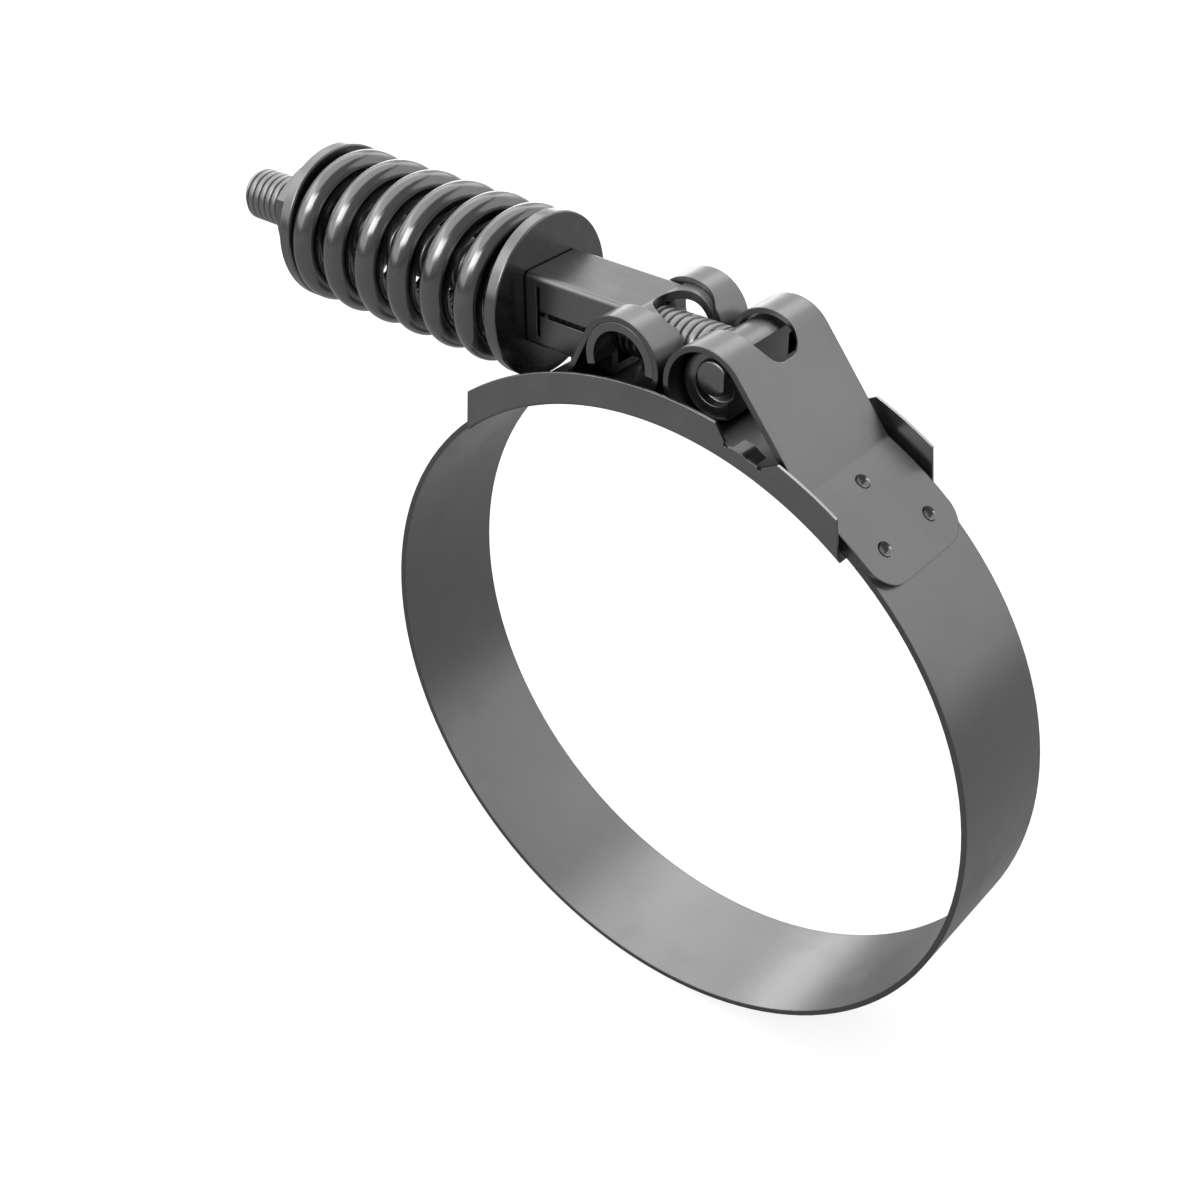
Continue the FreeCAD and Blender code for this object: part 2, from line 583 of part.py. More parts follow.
def make_trunnion():
    """One folded sheet: a half barrel across its loop and a square sleeve round the bolt."""
    body = new_body("trunnion_body")
    half = "Sizes.band_width / 2"
    inner = "(%s - Sizes.trunnion_sheet)" % BARREL_OUTER
    barrel = new_sketch(body, "YZ_Plane", "trunnion_barrel_section",
                        swing="(Sizes.barrel_tee_end_angle - Sizes.barrel_spring_end_angle) / 2")
    draw_outline(barrel, [
        ("-" + half, inner),
        (half, inner),
        (half, BARREL_OUTER),
        ("-" + half, BARREL_OUTER),
    ])
    revolve(body, barrel, "trunnion_barrel", "H_Axis",
            "180 + Sizes.barrel_tee_end_angle + Sizes.barrel_spring_end_angle")

    relief = new_sketch(body, "XY_Plane", "trunnion_relief", rise="-" + BARREL_OUTER)
    draw_outline(relief, slot_corners(
        "-2 * " + BARREL_OUTER, "-Sizes.bolt_slot_start",
        "(Sizes.sleeve_half_width + Sizes.sleeve_relief)", None, None))
    pocket(body, relief, "trunnion_relief_cut", "3 * " + BARREL_OUTER, reverse=True)

    wide = "Sizes.sleeve_half_width"
    wall = "Sizes.trunnion_sheet"
    fold = "Sizes.sleeve_fold_radius"
    corner = "Sizes.sleeve_corner_radius"
    inside = "(%s - %s)" % (wide, wall)
    sleeve = new_sketch(body, "YZ_Plane", "trunnion_sleeve_section", rise="-Sizes.sleeve_length")
    draw_outline(sleeve, [
        ("-" + wide, "-Sizes.sleeve_bottom", corner),
        (wide, "-Sizes.sleeve_bottom", corner),
        (wide, "Sizes.sleeve_top", corner),
        ("-" + wide, "Sizes.sleeve_top", corner),
    ])
    draw_outline(sleeve, [
        ("-" + inside, "-(Sizes.sleeve_bottom - %s)" % wall, fold),
        (inside, "-(Sizes.sleeve_bottom - %s)" % wall, fold),
        (inside, "Sizes.sleeve_top - " + wall, fold),
        ("-" + inside, "Sizes.sleeve_top - " + wall, fold),
    ])
    pad(body, sleeve, "trunnion_sleeve", "Sizes.sleeve_length - Sizes.bolt_slot_start / 2")

    # Past the leg of its loop the sleeve is only a neck on the barrel's crown.
    mouth = new_sketch(body, "XZ_Plane", "trunnion_mouth")
    draw_outline(mouth, [
        ("-Sizes.sleeve_mouth", "-2 * Sizes.sleeve_bottom"),
        ("0", "-2 * Sizes.sleeve_bottom"),
        ("0", "Sizes.sleeve_top - " + wall),
        ("-Sizes.sleeve_mouth", "Sizes.sleeve_top - " + wall),
    ])
    pocket(body, mouth, "trunnion_mouth_cut", "2 * (%s + Sizes.sleeve_relief / 2)" % wide, both_ways=True)

    slot = new_sketch(body, "XY_Plane", "trunnion_bolt_slot", rise="-Sizes.bolt_radius")
    slot_half = "Sizes.bolt_slot_half_width"
    draw_outline(slot, slot_corners(
        "-Sizes.bolt_slot_start", "2 * " + BARREL_OUTER, slot_half, "Sizes.bolt_slot_round", None))
    pocket(body, slot, "trunnion_bolt_slot_cut", "3 * " + BARREL_OUTER, reverse=True)

    # The sheet's edges meet in a seam on the front, cut off from the collar by a slit.
    seam_start = "-0.8 * Sizes.sleeve_mouth"
    seam_end = "-(%s + Sizes.seam_width)" % SEAM_OFFSET
    seam = new_sketch(body, "XZ_Plane", "trunnion_seam", rise="(%s - 1.5 * %s)" % (wide, wall))
    draw_outline(seam, [
        (seam_end, "-Sizes.seam_bottom"),
        ("-" + SEAM_OFFSET, "-Sizes.seam_bottom"),
        ("-" + SEAM_OFFSET, "-Sizes.joint_bottom"),
        (seam_start, "-Sizes.joint_bottom"),
        (seam_start, "Sizes.joint_top"),
        ("-" + SEAM_OFFSET, "Sizes.joint_top"),
        ("-" + SEAM_OFFSET, "Sizes.seam_top"),
        (seam_end, "Sizes.seam_top"),
    ])
    slit = pocket(body, seam, "trunnion_seam_cut", "2 * " + wall, reverse=True)

    # The sleeve's end is rounded off where it meets the washer.
    end_x = -worth("Sizes.sleeve_length")
    rim = worth("Sizes.sleeve_half_width - Sizes.trunnion_sheet / 2")

    def is_end_rim(edge):
        box = edge.BoundBox
        at_end = abs(box.XMin - end_x) < 1e-6 and box.XLength < 1e-6
        return at_end and max(abs(box.YMin), abs(box.YMax), abs(box.ZMin), abs(box.ZMax)) > rim

    rounding = body.newObject("PartDesign::Fillet", "trunnion_end_round")
    rounding.Base = (slit, edges_where(slit, is_end_rim))
    rounding.setExpression("Radius", "Sizes.sleeve_end_round")
    body.setExpression("Placement.Base.x", "-" + LOOP_OFFSET)
    body.setExpression("Placement.Base.z", BOLT_HEIGHT)
    return label(body, "trunnion")


# T bolt


def make_tee_bolt():
    """A cross-bar head with a flat, hollow ends and a button in each, and a round shank."""
    body = new_body("t_bolt_body")
    head = new_sketch(body, "XY_Plane", "t_bolt_head_half")
    hollow = "(Sizes.head_reach - Sizes.hollow_depth)"
    button_reach = "(Sizes.head_reach + Sizes.button_proud)"
    steps = [
        (HEAD_RADIUS, "Sizes.head_reach", "Sizes.head_edge_round"),
        ("Sizes.hollow_radius", "Sizes.head_reach"),
        ("Sizes.hollow_radius", hollow),
        ("0", hollow),
    ]
    mirrored = [(step[0], "-" + step[1]) + step[2:] for step in reversed(steps)]
    draw_outline(head, steps + mirrored)
    revolve(body, head, "t_bolt_head", "V_Axis", "360")

    # The button that stands in each hollow lies off the bar's middle, upwards and to the flat.
    button = new_sketch(body, "XZ_Plane", "t_bolt_button_section")
    draw_circle(button, "Sizes.button_radius", ("Sizes.button_shift", "Sizes.button_rise"))
    buttons = pad(body, button, "t_bolt_buttons", "2 * " + button_reach, both_ways=True)
    button_face = worth(button_reach)

    def is_button_rim(edge):
        box = edge.BoundBox
        return box.YLength < 1e-6 and abs(abs(box.YMin) - button_face) < 1e-6

    rounding = body.newObject("PartDesign::Fillet", "t_bolt_button_round")
    rounding.Base = (buttons, edges_where(buttons, is_button_rim))
    rounding.setExpression("Radius", "Sizes.button_round")

    flat = new_sketch(body, "XZ_Plane", "t_bolt_flat")
    level = "(%s - Sizes.head_flat_depth)" % HEAD_RADIUS
    past = "2 * " + HEAD_RADIUS
    draw_outline(flat, [(level, "-" + past), (past, "-" + past), (past, past), (level, past)])
    pocket(body, flat, "t_bolt_flat_cut", "4 * " + button_reach, both_ways=True)

    round_bar = new_sketch(body, "YZ_Plane", "t_bolt_shank_section")
    draw_circle(round_bar, "Sizes.bolt_radius")
    shank = pad(body, round_bar, "t_bolt_shank", "Sizes.bolt_tip_reach + " + HEAD_OFFSET, reverse=True)
    tip_x = -worth("Sizes.bolt_tip_reach + " + HEAD_OFFSET)

    def is_tip(edge):
        return abs(edge.BoundBox.XMin - tip_x) < 1e-6 and edge.BoundBox.XLength < 1e-6

    tip = body.newObject("PartDesign::Chamfer", "t_bolt_tip")
    tip.Base = (shank, edges_where(shank, is_tip))
    tip.setExpression("Size", "Sizes.bolt_tip_chamfer")
    body.setExpression("Placement.Base.x", HEAD_OFFSET)
    body.setExpression("Placement.Base.z", BOLT_HEIGHT)
    return label(body, "t_bolt")


# Washers, spring and nut


def along_bolt(feature, start):
    """Turns a piece built up along +Z to point along -X from its start on the bolt."""
    feature.Placement = FreeCAD.Placement(
        FreeCAD.Vector(), FreeCAD.Rotation(FreeCAD.Vector(0, 1, 0), -90))
    feature.setExpression("Placement.Base.x", "-" + start)
    feature.setExpression("Placement.Base.z", BOLT_HEIGHT)


def make_washer(name, start):
    """A thick flat washer with slightly rounded edges."""
    body = new_body(name + "_body")
    sketch = new_sketch(body, "XZ_Plane", name + "_half_section")
    edge = "Sizes.washer_edge_round"
    draw_outline(sketch, [
        ("Sizes.washer_hole_radius", "0", edge),
        ("Sizes.washer_radius", "0", edge),
        ("Sizes.washer_radius", "Sizes.washer_thickness", edge),
        ("Sizes.washer_hole_radius", "Sizes.washer_thickness", edge),
    ])
    revolve(body, sketch, name + "_ring", "V_Axis", "360")
    along_bolt(body, start)
    return label(body, name)


def make_spring():
    """An open left-hand coil of round wire, both ends ground flat."""
    coil = doc.addObject("Part::Helix", "spring_helix")
    coil.setExpression("Pitch", "Sizes.spring_pitch")
    coil.setExpression("Radius", "Sizes.spring_coil_radius")
    coil.setExpression("Height", "Sizes.spring_length + 2 * Sizes.spring_pitch")
    coil.setExpression("Placement.Base.z", "-Sizes.spring_pitch")
    coil.LocalCoord = "Left-handed"
    wire = doc.addObject("Part::Circle", "spring_wire")
    wire.setExpression("Radius", "Sizes.spring_wire_radius")
    wire.Placement = FreeCAD.Placement(
        FreeCAD.Vector(), FreeCAD.Rotation(FreeCAD.Vector(1, 0, 0), 90))
    wire.setExpression("Placement.Base.x", "Sizes.spring_coil_radius")
    wire.setExpression("Placement.Base.z", "-Sizes.spring_pitch")
    doc.recompute()
    sweep = doc.addObject("Part::Sweep", "spring_coil")
    sweep.Sections = [wire]
    sweep.Spine = (coil, ["Edge%d" % (index + 1) for index in range(len(coil.Shape.Edges))])
    sweep.Solid = True
    sweep.Frenet = True
    sweep.Placement = FreeCAD.Placement(
        FreeCAD.Vector(), FreeCAD.Rotation(FreeCAD.Vector(0, 0, 1), -1.0))
    sweep.setExpression("Placement.Rotation.Angle", "-Sizes.spring_turn_angle")
    between_washers = doc.addObject("Part::Cylinder", "spring_envelope")
    between_washers.setExpression("Radius", "Sizes.spring_coil_radius + 2 * Sizes.spring_wire_radius")
    between_washers.setExpression("Height", "Sizes.spring_length")
    ground = doc.addObject("Part::Common", "spring_ground")
    ground.Base = sweep
    ground.Tool = between_washers
    along_bolt(ground, SPRING_START)
    return label(ground, "spring")


def make_nut():
    """A plain hexagon nut, chamfered on both faces, with a countersunk bore."""
    prism = doc.addObject("Part::Prism", "nut_hexagon")
    prism.Polygon = 6
    prism.setExpression("Circumradius", "Sizes.nut_flats / sqrt(3)")
    prism.setExpression("Height", "Sizes.nut_height")
    spread = "(Sizes.nut_face_radius + Sizes.nut_height / tan(Sizes.nut_chamfer_angle))"
    bore = "(Sizes.bolt_radius + Sizes.nut_thread_gap)"
    sink = "(%s + Sizes.nut_countersink)" % bore
    blanks = [prism]
    holes = []
    drill = doc.addObject("Part::Cylinder", "nut_bore")
    drill.setExpression("Radius", bore)
    drill.setExpression("Height", "Sizes.nut_height")
    holes.append(drill)
    for face, (small, large) in (("near", ("Radius1", "Radius2")), ("far", ("Radius2", "Radius1"))):
        cone = doc.addObject("Part::Cone", "nut_%s_chamfer" % face)
        cone.setExpression(small, "Sizes.nut_face_radius")
        cone.setExpression(large, spread)
        cone.setExpression("Height", "Sizes.nut_height")
        blanks.append(cone)
        mouth = doc.addObject("Part::Cone", "nut_%s_countersink" % face)
        mouth.setExpression(small, sink)
        mouth.setExpression(large, bore)
        mouth.setExpression("Height", "Sizes.nut_countersink")
        if face == "far":
            mouth.setExpression("Placement.Base.z", "Sizes.nut_height - Sizes.nut_countersink")
        holes.append(mouth)
    blank = doc.addObject("Part::MultiCommon", "nut_blank")
    blank.Shapes = blanks
    opening = doc.addObject("Part::MultiFuse", "nut_opening")
    opening.Shapes = holes
    nut = doc.addObject("Part::Cut", "nut_cut")
    nut.Base = blank
    nut.Tool = opening
    along_bolt(nut, NUT_START)
    return label(nut, "nut")


pieces = [
    make_band(),
    make_bridge(),
    make_trunnion(),
    make_tee_bolt(),
    make_washer("inner_washer", SLEEVE_END),
    make_spring(),
    make_washer("outer_washer", OUTER_WASHER),
    make_nut(),
]
doc.recompute()

for item in doc.Objects:
    if "Invalid" in item.State or "Error" in item.State:
        raise RuntimeError("%s did not build: %s" % (item.Label, item.State))
for piece in pieces:
    if piece.Shape.isNull() or not piece.Shape.isValid() or len(piece.Shape.Solids) != 1:
        raise RuntimeError("%s is not one valid solid" % piece.Label)

os.makedirs("parts", exist_ok=True)
for piece in pieces:
    piece.Shape.exportStep("parts/%s.step" % piece.Label)
    print(piece.Label, round(piece.Shape.Volume, 1))
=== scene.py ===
import math

import bmesh
import bpy
from mathutils import Matrix, Vector


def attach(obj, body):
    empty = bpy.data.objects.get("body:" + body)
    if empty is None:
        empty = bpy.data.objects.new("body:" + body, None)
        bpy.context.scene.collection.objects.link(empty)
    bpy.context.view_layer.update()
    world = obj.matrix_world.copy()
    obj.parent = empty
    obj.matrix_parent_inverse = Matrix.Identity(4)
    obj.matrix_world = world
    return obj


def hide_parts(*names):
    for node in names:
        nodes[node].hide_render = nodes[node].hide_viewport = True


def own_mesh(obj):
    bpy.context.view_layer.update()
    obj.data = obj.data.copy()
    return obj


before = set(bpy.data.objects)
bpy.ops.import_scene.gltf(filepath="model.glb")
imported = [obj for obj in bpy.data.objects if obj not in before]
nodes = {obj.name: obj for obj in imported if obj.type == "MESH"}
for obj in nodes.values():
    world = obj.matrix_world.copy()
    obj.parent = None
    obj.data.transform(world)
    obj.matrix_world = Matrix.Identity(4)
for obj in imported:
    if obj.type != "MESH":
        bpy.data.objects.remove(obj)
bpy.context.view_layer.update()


# The view: the clamp stands upright on its ring and is seen from its front right and above,
# so that the bolt runs away to the upper left.

VIEW_TURN = math.radians(39.2462)
VIEW_RISE = math.radians(35.033)
VIEW_PLACE = Vector((0.11437, -0.16202, 0.1549))
VIEW_LENS = 50.564
FILM_WIDTH = 36
VIEW_NEAR = 0.01
VIEW_FAR = 20

to_right = Vector((math.cos(VIEW_TURN), math.sin(VIEW_TURN), 0))
to_back = Vector((math.sin(VIEW_TURN) * math.cos(VIEW_RISE),
                  -math.cos(VIEW_TURN) * math.cos(VIEW_RISE),
                  math.sin(VIEW_RISE)))
to_top = to_back.cross(to_right)
view_lens = bpy.data.cameras.new("view")
view_lens.lens = VIEW_LENS
view_lens.sensor_width = FILM_WIDTH
view_lens.clip_start = VIEW_NEAR
view_lens.clip_end = VIEW_FAR
view = bpy.data.objects.new("view", view_lens)
facing = Matrix((to_right, to_top, to_back)).transposed().to_4x4()
view.matrix_world = Matrix.Translation(VIEW_PLACE) @ facing
bpy.context.scene.collection.objects.link(view)
bpy.context.scene.camera = view
bpy.context.scene.view_settings.view_transform = "Standard"


# The band: one strip of stainless steel, rolled into a ring. Both ends are folded back over
# a loop and spot welded to the ring, and the slots for bolt and sleeve are punched first.

MILLIMETRE = 0.001
STEEL = (0.17, 0.17, 0.172, 1)
STEEL_WORN = (0.28, 0.28, 0.283, 1)
# Near black steel used only as painted shade, where light falls short; it is no stain.
STEEL_PAINTED_SHADE = (0.04, 0.039, 0.038, 1)
BAND_SIDE = 10
WELD_LEVEL = 51.72
WELD_RADIUS = 1.1
WELD_SPREAD = 5.35
WELD_TURNS = ((28.6, 37.9), (-22.5, -24.9))


class Shade:
    """One socket of a finish, so that a finish is written as sums of values."""

    def __init__(self, tree, socket):
        self.tree = tree
        self.socket = socket

    def node(self, kind, settings, inputs, output=0):
        """Any node: its settings first, then the values or links of its sockets."""
        made = self.tree.nodes.new(kind)
        for name, setting in settings.items():
            setattr(made, name, setting)
        for name, value in inputs.items():
            if isinstance(value, Shade):
                self.tree.links.new(value.socket, made.inputs[name])
            else:
                made.inputs[name].default_value = value
        return Shade(self.tree, made.outputs[output])

    def reckon(self, operation, *others):
        """A sum on values, by one Math node."""
        return self.node("ShaderNodeMath", {"operation": operation}, dict(enumerate((self,) + others)))

    def __add__(self, other):
        return self.reckon("ADD", other)

    __radd__ = __add__

    def __sub__(self, other):
        return self.reckon("SUBTRACT", other)

    def __rsub__(self, other):
        return self * -1 + other

    def __mul__(self, other):
        return self.reckon("MULTIPLY", other)

    __rmul__ = __mul__

    def step(self, low, high):
        """0 below low, 1 above high, and smooth between them."""
        inputs = {"Value": self, "From Min": low, "From Max": high}
        return self.node("ShaderNodeMapRange", {"interpolation_type": "SMOOTHSTEP"}, inputs)

    def between(self, first, second):
        """The colour that lies this share of the way from the first to the second."""
        return self.node("ShaderNodeMix", {"data_type": "RGBA"}, {0: self, 6: first, 7: second}, 2)

    def stretched(self, x, y, z):
        """A place, with each axis multiplied."""
        return self.node("ShaderNodeVectorMath", {"operation": "MULTIPLY"}, {0: self, 1: (x, y, z)})

    def moved(self, x, y, z):
        """A place, shifted."""
        return self.node("ShaderNodeVectorMath", {"operation": "ADD"}, {0: self, 1: (x, y, z)})

    def dot(self, other):
        """How far two directions agree."""
        return self.node("ShaderNodeVectorMath", {"operation": "DOT_PRODUCT"}, {0: self, 1: other}, 1)

    def length(self):
        """The distance of a place from its origin."""
        return self.node("ShaderNodeVectorMath", {"operation": "LENGTH"}, {0: self}, 1)

    def axis(self, index):
        """One coordinate of a place."""
        return self.node("ShaderNodeSeparateXYZ", {}, {0: self}, index)

    def cloud(self, detail=2, roughness=0.5):
        """Soft noise at a place, from 0 to 1 about 0.5."""
        inputs = {"Vector": self, "Scale": 1, "Detail": detail, "Roughness": roughness}
        return self.node("ShaderNodeTexNoise", {}, inputs)


def new_finish(name, rounding):
    """A steel finish, the place on the piece in millimetres, and the rounded edges' normal."""
    material = bpy.data.materials.new(name)
    material.use_nodes = True
    tree = material.node_tree
    surface = tree.nodes["Principled BSDF"]
    surface.inputs["Metallic"].default_value = 1
    coordinates = tree.nodes.new("ShaderNodeTexCoord")
    place = Shade(tree, coordinates.outputs["Object"]).stretched(*[1 / MILLIMETRE] * 3)
    rounded = place.node("ShaderNodeBevel", {"samples": 4}, {"Radius": rounding * MILLIMETRE})
    return material, surface, place, rounded


def lay(surface, socket, shade):
    """Leads a shade into one of the finish's sockets."""
    shade.tree.links.new(shade.socket, surface.inputs[socket])


def edge_wear(place, rounded):
    """1 on the rounded edges, where plating and dirt are rubbed off, and 0 on faces."""
    facing = place.node("ShaderNodeNewGeometry", {}, {}, 1)
    return (1 - rounded.dot(facing)).step(0.01, 0.12)


def press_relief(place, rounded, height, depth):
    """The normal of a surface whose height rises by a depth in millimetres."""
    inputs = {"Strength": 1, "Distance": depth * MILLIMETRE, "Height": height, "Normal": rounded}
    return place.node("ShaderNodeBump", {}, inputs)


def dress(node, material):
    """Gives a node from the model its finish."""
    mesh = nodes[node].data
    mesh.materials.clear()
    mesh.materials.append(material)


def weld_places():
    """The middles of the three spot welds on each tab, on the tab's outer face."""
    for near, far in WELD_TURNS:
        for turn, across in ((near, 0), (far, WELD_SPREAD), (far, -WELD_SPREAD)):
            around = math.radians(turn)
            yield WELD_LEVEL * math.sin(around), across, WELD_LEVEL * math.cos(around)


strip_steel, surface, place, rounded = new_finish("strip_steel", 0.22)
grain = place.stretched(0.06, 5, 0.06).cloud(3, 0.6)
scratches = place.stretched(0.25, 11, 0.25).cloud(2).step(0.62, 0.78)
sheen = place.stretched(0.035, 0.02, 0.035).cloud(1).step(0.3, 0.7)
smudges = place.stretched(0.12, 0.12, 0.12).cloud(4, 0.6).step(0.45, 0.75)
# The band's cut sides are darkened by this mask: painted shade, drawn as dark outlines.
side = place.axis(1).reckon("ABSOLUTE").step(BAND_SIDE - 0.2, BAND_SIDE - 0.05)
# The weld dimples are darkened towards near black: painted shade in their hollows.
dimple = 0
for x, y, z in weld_places():
    away = place.moved(-x, -y, -z).length()
    dimple = (1 - away.step(WELD_RADIUS - 0.1, WELD_RADIUS + 0.1)) + dimple
color = (grain * 0.3 + sheen * 0.25).between(STEEL, STEEL_WORN)
color = (side * 0.45 + dimple * 0.5).between(color, STEEL_PAINTED_SHADE)
lay(surface, "Base Color", color)
lay(surface, "Roughness", 0.27 + grain * 0.08 + smudges * 0.07 - scratches * 0.04 - dimple * 0.15)
lay(surface, "Normal", press_relief(place, rounded, grain + scratches * 0.4, 0.004))
dress("band", strip_steel)


# The bridge: a channel pressed from thinner strip. It lies loose inside the band's top and
# closes the gap under the loops, with a notch and a folded-in lug on each flange.

FLANGE_TOP = 54.4
# Light grey for a painted highlight along the flanges' top edges.
PAINTED_RIM_HIGHLIGHT = (0.62, 0.62, 0.62, 1)

bridge_steel, surface, place, rounded = new_finish("bridge_steel", 0.09)
grain = place.stretched(0.08, 6, 0.08).cloud(3, 0.6)
draw_marks = place.stretched(1.6, 0.3, 0.2).cloud(2).step(0.5, 0.8)
smudges = place.stretched(0.15, 0.15, 0.15).cloud(4, 0.6).step(0.4, 0.75)
# The flanges' top edges are painted light: a painted highlight where light falls from above.
rim = place.stretched(1, 0, 1).length().step(FLANGE_TOP - 0.12, FLANGE_TOP - 0.04)
color = (grain * 0.3 + smudges * 0.15).between(STEEL, STEEL_WORN)
color = (rim * 0.6).between(color, PAINTED_RIM_HIGHLIGHT)
lay(surface, "Base Color", color)
lay(surface, "Roughness", 0.28 + grain * 0.08 + smudges * 0.07)
lay(surface, "Normal", press_relief(place, rounded, grain + draw_marks * 0.5, 0.004))
dress("bridge", bridge_steel)


# The trunnion: one thick sheet, folded into a half barrel that turns in its loop and a square
# sleeve that guides the bolt. It is zinc plated, so it shines softly and a little unevenly.

PLATING = (0.15, 0.15, 0.152, 1)
PLATING_WORN = (0.26, 0.26, 0.262, 1)
SLEEVE_END = -26.7

trunnion_plating, surface, place, rounded = new_finish("trunnion_plating", 0.16)
drawn = place.stretched(0.1, 1.6, 1.6).cloud(3, 0.6)
speckle = place.stretched(3, 3, 3).cloud(2)
smudges = place.stretched(0.2, 0.2, 0.2).cloud(4, 0.6).step(0.4, 0.75)
wear = edge_wear(place, rounded)
color = (drawn * 0.3 + smudges * 0.2).between(PLATING, PLATING_WORN)
color = (wear * 0.3).between(color, PLATING_WORN)
# The sleeve's end, where it meets the washer, is darkened: painted contact shade; it is also rougher.
painted_contact_shade = 1 - place.axis(0).step(SLEEVE_END + 0.15, SLEEVE_END + 0.4)
color = (painted_contact_shade * 0.8).between(color, STEEL_PAINTED_SHADE)
lay(surface, "Base Color", color)
lay(surface, "Roughness", 0.25 + speckle * 0.08 + smudges * 0.08 + painted_contact_shade * 0.2)
lay(surface, "Normal", press_relief(place, rounded, drawn + speckle * 0.6, 0.005))
dress("trunnion", trunnion_plating)


# The T bolt: cold forged, with a cross-bar head that lies in its loop. The bar's ends are
# hollow with a button in each, one side is flat, and the shank has a rolled M8 thread.

HEAD_MIDDLE = Vector((6.4, 0, 55.8))
BAR_FLAT = 8.6
BAR_PROFILE = [(2.5, 6.05), (2.66, 6.08), (2.77, 6.17), (2.8, 6.3), (2.8, 7.33), (2.83, 7.41),
               (2.92, 7.45), (4.2, 7.45), (4.4, 7.42), (4.62, 7.32), (4.79, 7.15), (4.88, 6.95),
               (4.9, 6.75), (4.9, 0)]
HEAD_FACE = 1.5
HOLLOW_RADIUS = 2.9
BACK_LEVEL = 7.3
BACK_SHIFT = 0.45
BACK_BUTTON = 8
BUTTON_PLACE = (0.3, 1.4)
BUTTON_PROFILE = [(2.05, 8.4), (2.2, 8.37), (2.33, 8.28), (2.42, 8.15), (2.45, 8), (2.45, 5.9)]
BAR_SIDES = 96
THREAD_PITCH = 1.25
THREAD_CREST = 3.95
THREAD_ROOT = 3.68
THREAD_START = 4
THREAD_END = -86.4
THREAD_SIDES = 40
TIP_RADIUS = 3.1
SAME_POINT = 1e-4
CUT_SLACK = 1e-6
THREAD_SHAPE = [(0, THREAD_ROOT), (0.04, THREAD_ROOT), (0.16, THREAD_CREST - 0.03),
                (0.2, THREAD_CREST), (0.84, THREAD_CREST), (0.88, THREAD_CREST - 0.03)]


def to_object(mesh_maker, name, material):
    """A mesh, drawn in millimetres in the model's own place, as an object in the scene."""
    for vertex in mesh_maker.verts:
        vertex.co *= MILLIMETRE
    mesh = bpy.data.meshes.new(name)
    mesh_maker.to_mesh(mesh)
    mesh_maker.free()
    mesh.materials.append(material)
    piece = bpy.data.objects.new(name, mesh)
    bpy.context.scene.collection.objects.link(piece)
    return piece


def smooth(piece, angle):
    """Shades a piece smooth, with creases where its faces meet at more than an angle."""
    for polygon in piece.data.polygons:
        polygon.use_smooth = True
    piece.data.set_sharp_from_angle(angle=math.radians(angle))


def join_rings(maker, first, second):
    """Faces between two closed rings of as many points."""
    count = len(first)
    for index in range(count):
        after = (index + 1) % count
        maker.faces.new((first[index], first[after], second[after], second[index]))


def turn_stub(maker, profile, aside, rise):
    """A profile of radius and reach, turned about an axis along Y and closed at both ends."""
    rings = []
    for radius, reach in profile:
        ring = []
        for side in range(BAR_SIDES):
            turn = 2 * math.pi * side / BAR_SIDES
            offset = Vector((aside + radius * math.cos(turn), reach, rise + radius * math.sin(turn)))
            ring.append(maker.verts.new(HEAD_MIDDLE + offset))
        rings.append(ring)
    for first, second in zip(rings, rings[1:]):
        join_rings(maker, first, second)
    maker.faces.new(rings[0])
    maker.faces.new(list(reversed(rings[-1])))


def cut_level(maker, place, outward):
    """Everything past a plane is cut off, and the cut is closed."""
    parts = maker.verts[:] + maker.edges[:] + maker.faces[:]
    cut = bmesh.ops.bisect_plane(maker, geom=parts, dist=CUT_SLACK, plane_co=place,
                                 plane_no=outward, clear_outer=True)
    rim = [part for part in cut["geom_cut"] if isinstance(part, bmesh.types.BMEdge)]
    bmesh.ops.holes_fill(maker, edges=rim, sides=0)


def forge_bar(maker):
    """The cross bar: a button in its hollow front end and in its hidden back end, which is nearly
    full and reaches a little further, and a flat on the side away from the shank."""
    back = [(radius, max(reach, BACK_LEVEL if radius < HOLLOW_RADIUS else 0) + BACK_SHIFT)
            for radius, reach in BAR_PROFILE]
    front = [(radius, -reach) for radius, reach in BAR_PROFILE]
    back_button = [(radius, min(reach, BACK_BUTTON)) for radius, reach in BUTTON_PROFILE]
    front_button = [(radius, -reach) for radius, reach in BUTTON_PROFILE]
    turn_stub(maker, back + front[-2::-1], 0, 0)
    turn_stub(maker, front_button, *BUTTON_PLACE)
    turn_stub(maker, back_button, *BUTTON_PLACE)
    cut_level(maker, (BAR_FLAT, 0, 0), (1, 0, 0))


def roll_thread(maker):
    """The threaded shank: one helical skin, closed by the bolt's tip and inside the head."""
    turns = (THREAD_START - THREAD_END) / THREAD_PITCH + 2
    columns = []
    for step in range(int(turns * THREAD_SIDES)):
        turn = 2 * math.pi * step / THREAD_SIDES
        column = []
        for along, radius in THREAD_SHAPE:
            x = THREAD_START + THREAD_PITCH - (step / THREAD_SIDES + along) * THREAD_PITCH
            x = max(THREAD_END, min(THREAD_START, x))
            radius = min(radius, TIP_RADIUS + (x - THREAD_END))
            column.append(maker.verts.new(
                (x, -radius * math.sin(turn), HEAD_MIDDLE.z + radius * math.cos(turn))))
        columns.append(column)
    for step in range(len(columns) - THREAD_SIDES - 1):
        here = columns[step] + [columns[step + THREAD_SIDES][0]]
        ahead = columns[step + 1] + [columns[step + THREAD_SIDES + 1][0]]
        for index in range(len(THREAD_SHAPE)):
            maker.faces.new((here[index], here[index + 1], ahead[index + 1], ahead[index]))


def off_bolt(place):
    """How far a place is from the bolt's axis."""
    return place.moved(0, 0, -HEAD_MIDDLE.z).stretched(0, 1, 1).length()


